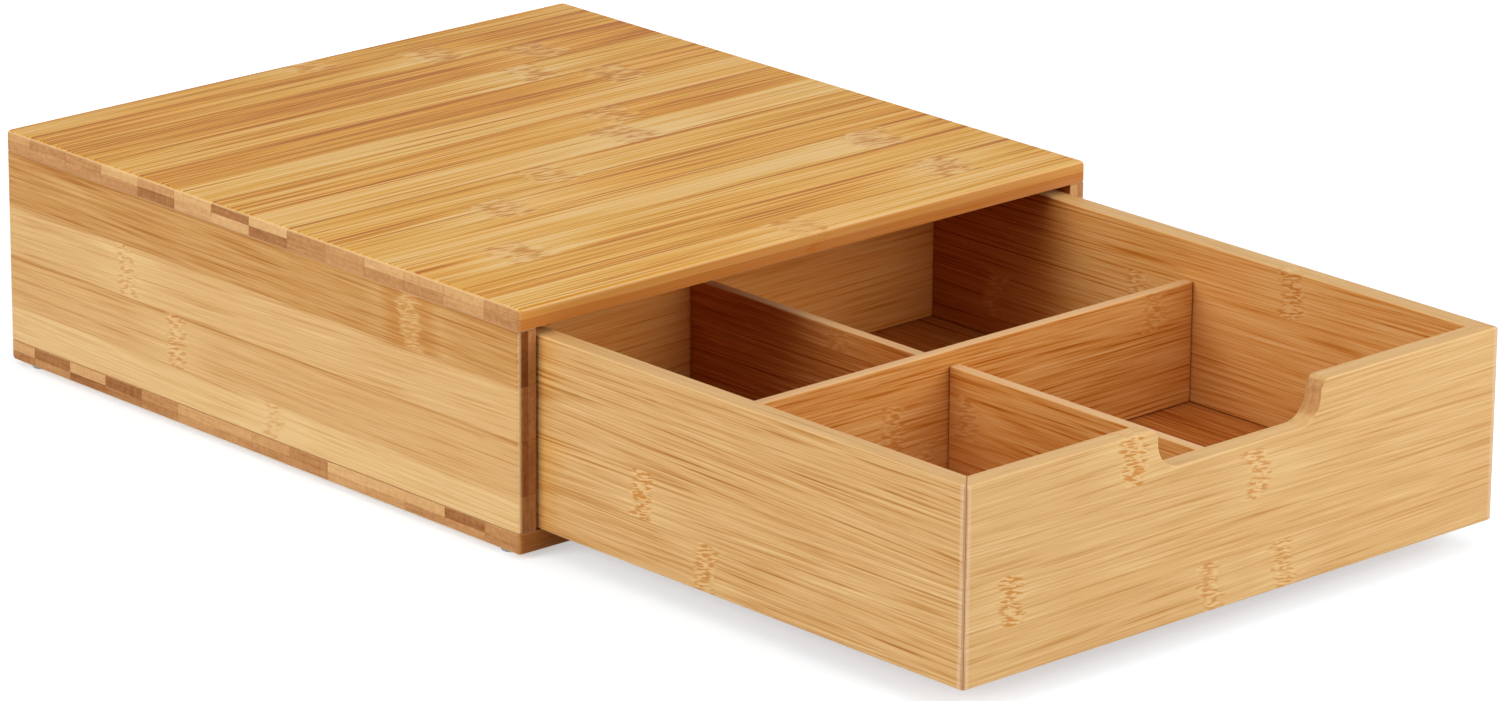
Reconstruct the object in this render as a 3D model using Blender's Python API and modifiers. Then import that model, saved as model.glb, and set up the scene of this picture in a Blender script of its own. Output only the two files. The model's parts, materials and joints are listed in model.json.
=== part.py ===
"""Bamboo storage box: an open-fronted case on four rubber feet, and a divided drawer that slides in it.

Metres, +Z up. The mouth of the case and the drawer's front face -Y, and +X is to the right of someone
facing them. The origin is on the ground, under the middle of the whole box with its drawer pulled out.
"""

import math

import bmesh
import bpy
from mathutils import Matrix, Vector

# Case boards
CASE_WIDTH = 0.300
CASE_DEPTH = 0.320
CASE_HEIGHT = 0.098
CASE_BOARD = 0.0085
PANEL_RIM_RADIUS = 0.0017
CASE_CORNER_RADIUS = 0.0022
BOARD_EDGE_RADIUS = 0.0005

# Fits
GLUE_LINE = 0.0003
RUNNING_GAP = 0.0003
SIDE_CLEARANCE = 0.0012
TOP_CLEARANCE = 0.0032
BACK_CLEARANCE = 0.0005

# Drawer
DRAWER_BOARD = 0.009
DRAWER_RECESS = 0.003
DRAWER_HELD = 0.077
DRAWER_CORNER_RADIUS = 0.0015
WALL_RIM_RADIUS = 0.001
FLOOR_BOARD = 0.005
FLOOR_RAISE = 0.006
GROOVE_DEPTH = 0.004
GROOVE_PLAY = 0.0003
GROOVE_HEADROOM = 0.0005

# Dividers
DIVIDER_BOARD = 0.005
CROSS_DIVIDER_HEIGHT = 0.050
LONG_DIVIDER_HEIGHT = 0.044
DIVIDER_EDGE_RADIUS = 0.0008

# Finger scoop in the drawer's front
SCOOP_WIDTH = 0.086
SCOOP_DEPTH = 0.0165
SCOOP_SHOULDER_RADIUS = 0.0045
SCOOP_CORNER_RADIUS = 0.011

# Dowels that pin the top and bottom panels to the upright boards
DOWEL_RADIUS = 0.0025
DOWEL_PLAY = 0.0003
DOWEL_CHAMFER = 0.0006
DOWEL_IN_PANEL = 0.005
DOWEL_IN_BOARD = 0.012
SIDE_DOWEL_INSET = 0.040
BACK_DOWEL_INSET = 0.060

# Rubber feet
FOOT_RADIUS = 0.004
FOOT_FLAT_RADIUS = 0.0022
FOOT_STAND = 0.002
FOOT_SIDE_INSET = 0.006
FOOT_END_INSET = 0.0125

# Fineness of the rounded forms
CORNER_STEPS = 3
ARC_STEPS = 8
TURNED_STEPS = 24
MERGE_DISTANCE = 0.00001
FLAT_ANGLE = math.radians(0.5)
SMOOTH_ANGLE = math.radians(40)
SHARP_ANGLE = math.radians(60)
QUARTER_TURN = math.radians(90)
CUTTER_MARGIN = 0.005

# Sizes that follow from the ones above
CLEAR_WIDTH = CASE_WIDTH - 2 * CASE_BOARD
CLEAR_HEIGHT = CASE_HEIGHT - 2 * CASE_BOARD
UPRIGHT_HEIGHT = CLEAR_HEIGHT - 2 * GLUE_LINE
BACK_PANEL_WIDTH = CLEAR_WIDTH - 2 * GLUE_LINE
DRAWER_WIDTH = CLEAR_WIDTH - 2 * SIDE_CLEARANCE
DRAWER_HEIGHT = CLEAR_HEIGHT - RUNNING_GAP - TOP_CLEARANCE
DRAWER_LENGTH = CASE_DEPTH - CASE_BOARD - BACK_CLEARANCE - DRAWER_RECESS
DRAWER_PULL = DRAWER_LENGTH - DRAWER_HELD
INNER_WIDTH = DRAWER_WIDTH - 2 * DRAWER_BOARD
INNER_LENGTH = DRAWER_LENGTH - 2 * DRAWER_BOARD
FLOOR_TOP = FLOOR_RAISE + FLOOR_BOARD
MOUTH_Y = (DRAWER_PULL - CASE_DEPTH) / 2
DRAWER_BASE = CASE_BOARD + RUNNING_GAP

# Colours, as linear RGB, and roughness
BAMBOO = (0.66, 0.38, 0.14)
PALE_BAMBOO = (0.71, 0.43, 0.185)
BIRCH = (0.62, 0.47, 0.29)
CLEAR_RUBBER = (0.62, 0.64, 0.64)
VARNISHED = 0.38
BARE_WOOD = 0.7
RUBBERY = 0.45


def clear_scene():
    for old in list(bpy.data.objects):
        bpy.data.objects.remove(old, do_unlink=True)


def new_collection(name):
    collection = bpy.data.collections.new(name)
    bpy.context.scene.collection.children.link(collection)
    return collection


def new_empty(name, collection, place, parent=None):
    empty = bpy.data.objects.new(name, None)
    collection.objects.link(empty)
    empty.location = place
    empty.parent = parent
    return empty


def new_material(name, colour, roughness):
    material = bpy.data.materials.new(name)
    material.use_nodes = True
    shader = material.node_tree.nodes["Principled BSDF"]
    shader.inputs["Base Color"].default_value = (*colour, 1)
    shader.inputs["Roughness"].default_value = roughness
    shader.inputs["Metallic"].default_value = 0
    return material


def add_piece(name, mesh, collection, parent, place, colour, roughness, turn=0.0):
    """A named object of the box with its own material, set in its parent's frame."""
    piece = bpy.data.objects.new(name, mesh)
    mesh.name = name
    mesh.materials.append(new_material(name, colour, roughness))
    mesh.shade_smooth()
    mesh.set_sharp_from_angle(angle=SMOOTH_ANGLE)
    collection.objects.link(piece)
    piece.parent = parent
    piece.location = place
    piece.rotation_euler = (0, 0, turn)
    return piece


def edit_mesh(mesh, change):
    """Runs change on a bmesh copy of the mesh and writes it back."""
    shape = bmesh.new()
    shape.from_mesh(mesh)
    change(shape)
    shape.to_mesh(mesh)
    shape.free()
    return mesh


def box_mesh(size, centre=(0, 0, 0)):
    bpy.ops.mesh.primitive_cube_add(size=1, location=centre)
    cube = bpy.context.object
    cube.scale = size
    bpy.ops.object.transform_apply(location=True, rotation=False, scale=True)
    mesh = cube.data
    bpy.data.objects.remove(cube)
    return mesh


def prism_mesh(outline, thickness):
    """A solid with a flat outline in XY, from -thickness / 2 to +thickness / 2 in Z."""
    curve = bpy.data.curves.new("outline", "CURVE")
    curve.dimensions = "2D"
    curve.fill_mode = "BOTH"
    curve.extrude = thickness / 2
    spline = curve.splines.new("POLY")
    spline.points.add(len(outline) - 1)
    for point, (x, y) in zip(spline.points, outline):
        point.co = (x, y, 0, 1)
    spline.use_cyclic_u = True
    flat = bpy.data.objects.new("outline", curve)
    bpy.context.scene.collection.objects.link(flat)
    mesh = bpy.data.meshes.new_from_object(flat.evaluated_get(bpy.context.evaluated_depsgraph_get()))
    bpy.data.objects.remove(flat)
    return edit_mesh(mesh, weld_and_flatten)


def weld_and_flatten(shape):
    bmesh.ops.remove_doubles(shape, verts=shape.verts, dist=MERGE_DISTANCE)
    bmesh.ops.dissolve_limit(
        shape, angle_limit=FLAT_ANGLE, verts=shape.verts, edges=shape.edges
    )


def common_mesh(first, second):
    """What two closed meshes have in common."""
    kept = bpy.data.objects.new("kept", first)
    other = bpy.data.objects.new("other", second)
    for obj in (kept, other):
        bpy.context.scene.collection.objects.link(obj)
    cut = kept.modifiers.new("common", "BOOLEAN")
    cut.operation = "INTERSECT"
    cut.object = other
    mesh = bpy.data.meshes.new_from_object(kept.evaluated_get(bpy.context.evaluated_depsgraph_get()))
    for obj in (kept, other):
        bpy.data.objects.remove(obj)
    return edit_mesh(mesh, weld_and_flatten)


def turned_mesh(profile):
    """A solid turned about Z from a profile of (radius, height) that runs down its outer side."""
    mesh = bpy.data.meshes.new("profile")
    shape = bmesh.new()
    corners = [shape.verts.new((radius, 0, height)) for radius, height in profile]
    for upper, lower in zip(corners, corners[1:]):
        shape.edges.new((upper, lower))
    shape.to_mesh(mesh)
    shape.free()
    turned = bpy.data.objects.new("turned", mesh)
    bpy.context.scene.collection.objects.link(turned)
    screw = turned.modifiers.new("turn", "SCREW")
    screw.steps = TURNED_STEPS
    screw.render_steps = TURNED_STEPS
    screw.use_merge_vertices = True
    screw.merge_threshold = MERGE_DISTANCE
    solid = bpy.data.meshes.new_from_object(turned.evaluated_get(bpy.context.evaluated_depsgraph_get()))
    bpy.data.objects.remove(turned)
    return solid


def add_bevel(piece, radius, limit="ANGLE"):
    bevel = piece.modifiers.new("rounded edges", "BEVEL")
    bevel.width = radius
    bevel.segments = CORNER_STEPS
    bevel.limit_method = limit
    bevel.harden_normals = True


def add_cut(piece, cutter):
    cut = piece.modifiers.new(cutter.name, "BOOLEAN")
    cut.operation = "DIFFERENCE"
    cut.object = cutter


def add_cutter(name, mesh, collection, parent):
    cutter = bpy.data.objects.new(name, mesh)
    collection.objects.link(cutter)
    cutter.parent = parent
    cutter.hide_render = True
    cutter.display_type = "WIRE"
    return cutter


def weigh_edges(shape, radius_of, widest):
    """Stores on each edge its rounding, as a share of the widest one that the Bevel modifier makes."""
    weight = shape.edges.layers.float.new("bevel_weight_edge")
    for edge in shape.edges:
        edge[weight] = radius_of(edge) / widest


# Case

def upright_places():
    """Plan places of the dowels: three along each side board and two along the back board."""
    side_x = (CASE_WIDTH - CASE_BOARD) / 2
    back_x = BACK_PANEL_WIDTH / 2 - BACK_DOWEL_INSET
    back_y = CASE_DEPTH - CASE_BOARD / 2
    places = {}
    for side, x in (("left", -side_x), ("right", side_x)):
        for spot, y in (
            ("front", SIDE_DOWEL_INSET),
            ("middle", CASE_DEPTH / 2),
            ("rear", CASE_DEPTH - SIDE_DOWEL_INSET),
        ):
            places[f"{side}_{spot}"] = (x, y)
    places["back_left"] = (-back_x, back_y)
    places["back_right"] = (back_x, back_y)
    return places


def dowel_spans():
    """Lowest and highest point of the dowels in the lower and in the upper seam."""
    lower_seam = CASE_BOARD
    upper_seam = CASE_HEIGHT - CASE_BOARD
    return {
        "lower": (lower_seam - DOWEL_IN_PANEL, lower_seam + DOWEL_IN_BOARD),
        "upper": (upper_seam - DOWEL_IN_BOARD, upper_seam + DOWEL_IN_PANEL),
    }


def add_dowel_holes(cutters, case):
    """One cutter mesh for every dowel hole, a little wider and deeper than the dowels."""
    shape = bmesh.new()
    for x, y in upright_places().values():
        for low, high in dowel_spans().values():
            bmesh.ops.create_cone(
                shape,
                cap_ends=True,
                segments=TURNED_STEPS,
                radius1=DOWEL_RADIUS + DOWEL_PLAY,
                radius2=DOWEL_RADIUS + DOWEL_PLAY,
                depth=high - low + 2 * DOWEL_PLAY,
                matrix=Matrix.Translation((x, y, (low + high) / 2)),
            )
    mesh = bpy.data.meshes.new("dowel_holes")
    shape.to_mesh(mesh)
    shape.free()
    return add_cutter("dowel_holes", mesh, cutters, case)


def box_with_round_corners(size, side=0):
    """A box whose upright edges are rounded: all four, or the two that face the side (-1 is -X, 1 is +X)."""

    def is_rounded(edge):
        lower, upper = (vert.co for vert in edge.verts)
        return abs(lower.z - upper.z) > size[2] / 2 and lower.x * side >= 0

    def round_corners(shape):
        rounded = [edge for edge in shape.edges if is_rounded(edge)]
        bmesh.ops.bevel(
            shape, geom=rounded, offset=CASE_CORNER_RADIUS, segments=ARC_STEPS, profile=0.5, affect="EDGES"
        )

    return edit_mesh(box_mesh(size), round_corners)


def panel_mesh(outer_side):
    """The top or bottom panel: round corners, a full round outer rim and a crisp rim at the seam."""

    def rim_radius(edge):
        heights = [vert.co.z * outer_side for vert in edge.verts]
        if min(heights) > 0:
            return PANEL_RIM_RADIUS
        if max(heights) < 0:
            return GLUE_LINE
        return 0

    mesh = box_with_round_corners((CASE_WIDTH, CASE_DEPTH, CASE_BOARD))
    return edit_mesh(mesh, lambda shape: weigh_edges(shape, rim_radius, PANEL_RIM_RADIUS))


def build_panels(parts, case, dowel_holes):
    middle = CASE_DEPTH / 2
    for name, outer_side, height in (
        ("case_bottom_panel", -1, CASE_BOARD / 2),
        ("case_top_panel", 1, CASE_HEIGHT - CASE_BOARD / 2),
    ):
        panel = add_piece(name, panel_mesh(outer_side), parts, case, (0, middle, height), BAMBOO, VARNISHED)
        add_bevel(panel, PANEL_RIM_RADIUS, "WEIGHT")
        add_cut(panel, dowel_holes)


def build_uprights(parts, case, dowel_holes):
    side_x = (CASE_WIDTH - CASE_BOARD) / 2
    side_size = (CASE_BOARD, CASE_DEPTH, UPRIGHT_HEIGHT)
    back_size = (BACK_PANEL_WIDTH, CASE_BOARD, UPRIGHT_HEIGHT)
    back_y = CASE_DEPTH - CASE_BOARD / 2
    for name, mesh, x, y in (
        ("case_left_side", box_with_round_corners(side_size, -1), -side_x, CASE_DEPTH / 2),
        ("case_right_side", box_with_round_corners(side_size, 1), side_x, CASE_DEPTH / 2),
        ("case_back_panel", box_mesh(back_size), 0, back_y),
    ):
        board = add_piece(name, mesh, parts, case, (x, y, CASE_HEIGHT / 2), PALE_BAMBOO, VARNISHED)
        add_bevel(board, BOARD_EDGE_RADIUS)
        add_cut(board, dowel_holes)


def dowel_profile(length):
    return [
        (0, length / 2),
        (DOWEL_RADIUS - DOWEL_CHAMFER, length / 2),
        (DOWEL_RADIUS, length / 2 - DOWEL_CHAMFER),
        (DOWEL_RADIUS, DOWEL_CHAMFER - length / 2),
        (DOWEL_RADIUS - DOWEL_CHAMFER, -length / 2),
        (0, -length / 2),
    ]


def build_dowels(parts, case):
    for level, (low, high) in dowel_spans().items():
        for spot, (x, y) in upright_places().items():
            mesh = turned_mesh(dowel_profile(high - low))
            place = (x, y, (low + high) / 2)
            add_piece(f"dowel_{level}_{spot}", mesh, parts, case, place, BIRCH, BARE_WOOD)


def foot_profile():
    """A low dome, from the flat that is stuck to the board down to the flat that stands on the ground."""
    top = FOOT_STAND - GLUE_LINE
    bulge = FOOT_RADIUS - FOOT_FLAT_RADIUS
    angles = [QUARTER_TURN * step / ARC_STEPS for step in range(ARC_STEPS + 1)]
    dome = [(FOOT_FLAT_RADIUS + bulge * math.cos(a), top * (1 - math.sin(a))) for a in angles]
    return [(0, top), *dome, (0, 0)]


def build_feet(parts, case):
    x = CASE_WIDTH / 2 - FOOT_SIDE_INSET
    for name, foot_x, foot_y in (
        ("rubber_foot_front_left", -x, FOOT_END_INSET),
        ("rubber_foot_front_right", x, FOOT_END_INSET),
        ("rubber_foot_rear_left", -x, CASE_DEPTH - FOOT_END_INSET),
        ("rubber_foot_rear_right", x, CASE_DEPTH - FOOT_END_INSET),
    ):
        mesh = turned_mesh(foot_profile())
        add_piece(name, mesh, parts, case, (foot_x, foot_y, -FOOT_STAND), CLEAR_RUBBER, RUBBERY)


# Drawer

def arc(centre, radius, start, end, steps):
    """Points on an arc about a plan centre, both ends included, with angles in radians."""
    angles = [start + (end - start) * step / steps for step in range(steps + 1)]
    return [centre + radius * Vector((math.cos(a), math.sin(a))) for a in angles]


def mirrored(outline):
    """The same points on the other side of x = 0, in the order that carries the outline on."""
    return [Vector((-point.x, point.y)) for point in reversed(outline)]


def mitred_plan(length):
    """Plan of a wall whose outer face is on y = 0: a rounded outer corner, then the mitre's face."""
    centre = Vector((length / 2 - DRAWER_CORNER_RADIUS, DRAWER_CORNER_RADIUS))
    seam_turn = math.asin(GLUE_LINE / 2 / DRAWER_CORNER_RADIUS)
    mitre = -QUARTER_TURN / 2 - seam_turn
    right = arc(centre, DRAWER_CORNER_RADIUS, -QUARTER_TURN, mitre, CORNER_STEPS)
    right.append(Vector((length / 2 - DRAWER_BOARD - GLUE_LINE / math.sqrt(2), DRAWER_BOARD)))
    return right + mirrored(right)


def scoop_outline():
    """The finger scoop from its lowest point out to where its right shoulder meets the wall's top."""
    side = SCOOP_WIDTH / 2
    low = DRAWER_HEIGHT - SCOOP_DEPTH
    corner = Vector((side - SCOOP_CORNER_RADIUS, low + SCOOP_CORNER_RADIUS))
    shoulder = Vector((side + SCOOP_SHOULDER_RADIUS, DRAWER_HEIGHT - SCOOP_SHOULDER_RADIUS))
    hollow = arc(corner, SCOOP_CORNER_RADIUS, -QUARTER_TURN, 0, ARC_STEPS)
    crest = arc(shoulder, SCOOP_SHOULDER_RADIUS, 2 * QUARTER_TURN, QUARTER_TURN, ARC_STEPS)
    return hollow + crest


def wall_elevation(length, scooped):
    """A wall seen from outside, wider than the wall at both ends."""
    reach = length / 2 + CUTTER_MARGIN
    right = scoop_outline() if scooped else []
    right += [Vector((reach, DRAWER_HEIGHT)), Vector((reach, 0))]
    return mirrored(right) + right


def wall_mesh(length, scooped):
    """A mitred wall: its outer face on y = 0, its inner face on +Y, and its lower edge on z = 0."""
    plan = prism_mesh(mitred_plan(length), DRAWER_HEIGHT + 2 * CUTTER_MARGIN)
    plan.transform(Matrix.Translation((0, 0, DRAWER_HEIGHT / 2)))
    elevation = prism_mesh(wall_elevation(length, scooped), 2 * (DRAWER_BOARD + CUTTER_MARGIN))
    elevation.transform(Matrix.Rotation(QUARTER_TURN, 4, "X"))
    mesh = common_mesh(plan, elevation)

    def rim_radius(edge):
        on_mitre = any(face.normal.y > 0.5 and abs(face.normal.x) > 0.5 for face in edge.link_faces)
        if on_mitre or edge.calc_face_angle() < SHARP_ANGLE:
            return 0
        return WALL_RIM_RADIUS

    return edit_mesh(mesh, lambda shape: weigh_edges(shape, rim_radius, WALL_RIM_RADIUS))


def add_floor_groove(cutters, drawer):
    """A box as wide as the grooves reach, which leaves its slot in the inner face of all four walls."""
    low = FLOOR_RAISE - GROOVE_PLAY
    high = FLOOR_TOP + GROOVE_HEADROOM
    size = (INNER_WIDTH + 2 * GROOVE_DEPTH, INNER_LENGTH + 2 * GROOVE_DEPTH, high - low)
    mesh = box_mesh(size, (0, DRAWER_LENGTH / 2, (low + high) / 2))
    return add_cutter("floor_groove", mesh, cutters, drawer)


def build_walls(parts, drawer, floor_groove):
    middle = DRAWER_LENGTH / 2
    side = DRAWER_WIDTH / 2
    for name, length, x, y, turn, scooped in (
        ("drawer_front", DRAWER_WIDTH, 0, 0, 0, True),
        ("drawer_right_side", DRAWER_LENGTH, side, middle, QUARTER_TURN, False),
        ("drawer_back", DRAWER_WIDTH, 0, DRAWER_LENGTH, 2 * QUARTER_TURN, False),
        ("drawer_left_side", DRAWER_LENGTH, -side, middle, -QUARTER_TURN, False),
    ):
        mesh = wall_mesh(length, scooped)
        wall = add_piece(name, mesh, parts, drawer, (x, y, 0), PALE_BAMBOO, VARNISHED, turn)
        add_bevel(wall, WALL_RIM_RADIUS, "WEIGHT")
        add_cut(wall, floor_groove)


def build_floor(parts, drawer):
    overhang = 2 * (GROOVE_DEPTH - GROOVE_PLAY)
    mesh = box_mesh((INNER_WIDTH + overhang, INNER_LENGTH + overhang, FLOOR_BOARD))
    place = (0, DRAWER_LENGTH / 2, FLOOR_RAISE + FLOOR_BOARD / 2)
    floor = add_piece("drawer_floor", mesh, parts, drawer, place, PALE_BAMBOO, VARNISHED)
    add_bevel(floor, BOARD_EDGE_RADIUS)


def build_dividers(parts, drawer):
    """A cross divider in the middle of the drawer, and a lengthways one in each half."""
    middle = DRAWER_LENGTH / 2
    stand = FLOOR_TOP + GLUE_LINE
    long_length = (INNER_LENGTH - DIVIDER_BOARD) / 2 - 2 * GLUE_LINE
    long_offset = (DIVIDER_BOARD + long_length) / 2 + GLUE_LINE
    cross_size = (INNER_WIDTH - 2 * GLUE_LINE, DIVIDER_BOARD, CROSS_DIVIDER_HEIGHT)
    long_size = (DIVIDER_BOARD, long_length, LONG_DIVIDER_HEIGHT)
    for name, size, y in (
        ("cross_divider", cross_size, middle),
        ("front_divider", long_size, middle - long_offset),
        ("rear_divider", long_size, middle + long_offset),
    ):
        place = (0, y, stand + size[2] / 2)
        divider = add_piece(name, box_mesh(size), parts, drawer, place, PALE_BAMBOO, VARNISHED)
        add_bevel(divider, DIVIDER_EDGE_RADIUS)


def main():
    clear_scene()
    parts = new_collection("bamboo_drawer_box")
    cutters = new_collection("cutters")
    case = new_empty("case_frame", parts, (0, MOUTH_Y, FOOT_STAND))
    drawer = new_empty("drawer_frame", parts, (0, -DRAWER_PULL, DRAWER_BASE), case)
    dowel_holes = add_dowel_holes(cutters, case)
    floor_groove = add_floor_groove(cutters, drawer)
    build_panels(parts, case, dowel_holes)
    build_uprights(parts, case, dowel_holes)
    build_dowels(parts, case)
    build_feet(parts, case)
    build_walls(parts, drawer, floor_groove)
    build_floor(parts, drawer)
    build_dividers(parts, drawer)


main()
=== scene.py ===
"""The look of the bamboo drawer box: boards with strips, knuckles and end grain, glue lines, clear feet."""

import json
import math
import random
from collections import namedtuple

import bmesh
import bpy
from mathutils import Matrix, Vector

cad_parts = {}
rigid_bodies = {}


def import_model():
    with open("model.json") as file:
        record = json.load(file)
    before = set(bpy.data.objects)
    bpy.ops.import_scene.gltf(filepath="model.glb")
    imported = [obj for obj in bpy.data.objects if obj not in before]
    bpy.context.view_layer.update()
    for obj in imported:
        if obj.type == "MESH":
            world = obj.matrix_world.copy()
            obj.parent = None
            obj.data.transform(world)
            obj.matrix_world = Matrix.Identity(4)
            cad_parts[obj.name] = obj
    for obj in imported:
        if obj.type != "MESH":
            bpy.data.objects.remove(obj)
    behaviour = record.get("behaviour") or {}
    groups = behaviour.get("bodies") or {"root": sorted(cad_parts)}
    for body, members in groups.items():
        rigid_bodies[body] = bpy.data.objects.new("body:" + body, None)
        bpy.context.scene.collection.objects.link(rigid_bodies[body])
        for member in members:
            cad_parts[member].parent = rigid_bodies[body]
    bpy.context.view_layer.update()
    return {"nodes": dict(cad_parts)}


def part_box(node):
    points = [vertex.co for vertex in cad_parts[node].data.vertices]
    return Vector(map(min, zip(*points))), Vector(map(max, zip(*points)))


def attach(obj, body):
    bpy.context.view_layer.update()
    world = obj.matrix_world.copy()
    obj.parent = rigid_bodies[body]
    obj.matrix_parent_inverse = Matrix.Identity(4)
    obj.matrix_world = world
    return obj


MM = 0.001

# Camera, from the front left and a little above
VIEW_AZIMUTH = -42.57
VIEW_ELEVATION = 18.08
VIEW_ROLL = 0.45
VIEW_DISTANCE = 2.815
VIEW_LENS = 171.2
VIEW_TARGET = (0.0028, -0.0061, 0.0420)

# Studio lamps. level: how bright a white card at the box is when it faces the lamp, where 1 is white
LAMPS = {
    "front_lamp": {
        "azimuth": 25, "elevation": 20, "distance": 1.6,
        "width": 1.8, "height": 0.9, "level": 0.65,
    },
    "left_lamp": {
        "azimuth": -96, "elevation": 20, "distance": 2.0,
        "width": 1.1, "height": 1.1, "level": 0.59,
    },
    "top_lamp": {
        "azimuth": -30, "elevation": 75, "distance": 2.0,
        "width": 3.4, "height": 3.4, "level": 0.67,
    },
    "back_lamp": {
        "azimuth": 140, "elevation": 12, "distance": 2.0,
        "width": 1.4, "height": 1.0, "level": 0.26,
    },
}
# Lamps below this elevation, in degrees, don't show in the varnish
LOW_LAMP = 45
LAMP_CENTRE = (0, 0, 0.05)
AMBIENT = 0.12
FLOOR_SIZE = 30.0
FLOOR_COLOUR = (0.74, 0.80, 0.86)
FLOOR_GLOW = 0.50
FLOOR_GLOW_FAR = 1.0
FLOOR_GLOW_REACH = (0.3, 0.9)

# Bamboo colours, from the darkest fibre to the palest
PALE = (
    (0.42, 0.160, 0.032), (0.56, 0.272, 0.076), (0.655, 0.37, 0.140), (0.725, 0.445, 0.185),
    (0.80, 0.54, 0.25),
)
GOLDEN = (
    (0.46, 0.135, 0.006), (0.62, 0.245, 0.013), (0.74, 0.365, 0.042), (0.80, 0.455, 0.105),
    (0.86, 0.56, 0.225),
)
# Painted shade and bounce light: a darker, more saturated orange copy of the pale bamboo, for the inside of
# the drawer's walls and the cross and front dividers
SHADED_AMBER = (
    (0.43, 0.115, 0.011), (0.59, 0.215, 0.034), (0.70, 0.33, 0.088), (0.77, 0.42, 0.145),
    (0.82, 0.51, 0.22),
)
# Painted bounce light: a more saturated orange copy of the pale bamboo, for the inside of the drawer's back
BOUNCE_LIT_EMBER = (
    (0.49, 0.125, 0.009), (0.67, 0.225, 0.027), (0.79, 0.33, 0.070), (0.86, 0.415, 0.115),
    (0.90, 0.49, 0.17),
)
# Painted shade: a dark russet copy of the bamboo's colour, for the case's inside, the drawer's floor and
# rear divider, and the painted shadow inside the drawer's sides
SHADED_RUSSET = (
    (0.26, 0.055, 0.005), (0.37, 0.095, 0.012), (0.48, 0.155, 0.028), (0.58, 0.225, 0.055),
    (0.68, 0.31, 0.10),
)
END_TAN = (
    (0.27, 0.093, 0.025), (0.43, 0.186, 0.063), (0.58, 0.29, 0.112), (0.69, 0.40, 0.165),
    (0.78, 0.515, 0.245),
)
# End grain of the case's left side: dark as its end grain is, and darker still as painted shade where the
# drawer shades the case's front edge
END_DARK_AND_SHADED = (
    (0.12, 0.030, 0.006), (0.22, 0.066, 0.014), (0.34, 0.128, 0.036), (0.48, 0.21, 0.075),
    (0.60, 0.32, 0.14),
)
EDGE_UPPER = (0.63, 0.275, 0.065)
EDGE_LOWER = (0.50, 0.155, 0.03)
# Painted shade: the bottom panel's narrow edges, darker than the top panel's, for the shade low on the
# box's front
EDGE_IN_SHADE = (0.40, 0.115, 0.025)
WALL_EDGE = (0.77, 0.48, 0.195)
# The dividers' narrow edges: paler than their faces, partly the wood's edge colour and partly a painted
# highlight
DIVIDER_EDGE = (0.80, 0.50, 0.25)
# Painted highlight on the rounded edges
EDGE_HIGHLIGHT = (0.88, 0.60, 0.30)
# Orange tint for the colour's drift, and for the painted shade and bounce light at the case's mouth
WARM_AND_SHADE_TINT = (1.0, 0.84, 0.52)
KNUCKLE_STAIN = (0.60, 0.248, 0.05)
MITRE_SEAM = (0.46, 0.21, 0.09)
# Painted highlight beside the mitre seam
MITRE_HIGHLIGHT = (0.80, 0.56, 0.36)
RUBBER = ((0.72, 0.75, 0.76), (0.90, 0.92, 0.93))
DOWEL = ((0.42, 0.27, 0.13), (0.62, 0.45, 0.26), (0.74, 0.58, 0.38))
GLUE = ((0.46, 0.23, 0.10), (0.62, 0.37, 0.18))

# A place so far along the fibres that no knuckle shows, in metres
NO_KNUCKLE = 5.0
# How long the painted shadow takes to fade in along the board, in millimetres
PAINTED_SHADOW_FADE = 26

# A glued board: its fibres run along one axis, and its strips lie side by side across another.
# first, pitch: where the first joint lies and how wide a strip is, in millimetres
# plies: end-grain tone of the two plies, for each strip
# edge: the colours of the narrow edge's two plies; edge_share: how much they cover the face's colour
# joints: how strongly the joints between strips show
# fine, broad: how strong the hairlines and the wide bands of the grain are; pace: how soon they change
# slant: how far a strip's fibres may lean; flame: how strongly the grain flares beside a knuckle
# spread, glow: how long a knuckle is, and how much paler the wood is round it
# marks, stain: how strongly its dashes and its orange colour show
# worn: how much paler the rounded edges are painted, as a highlight
# warmth: how much the colour drifts to orange; warm_spot: where the drawer's side is always tinted darker
# orange, as painted shade and bounce light from the case's mouth at rest, in millimetres
# inside: the colours of the face that looks into the box, a more saturated orange as painted shade and
# bounce light, and which way that face looks, 1 or -1
# mitre: how far the dark seam reaches at a mitred end, in millimetres
# deep: from where along the board the inside turns to the rear divider's dark russet, as painted shadow
# under the case's top panel, in millimetres
Board = namedtuple(
    "Board",
    "along across first pitch strips plies face ends edge edge_share joints fine broad pace slant flame"
    " spread glow marks stain worn warmth inside looks mitre warm_spot deep",
    defaults=(None, 0, 0, None, None),
)
Strip = namedtuple("Strip", "tone knuckles turn ring", defaults=((), 0.0, 0.0))


def remove_startup_objects():
    for old in list(bpy.data.objects):
        bpy.data.objects.remove(old, do_unlink=True)


# Shader nodes. A Mix node has sockets for each data type: these are the ones for colours
MIX_FIRST = 6
MIX_SECOND = 7
MIX_RESULT = 2


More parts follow.
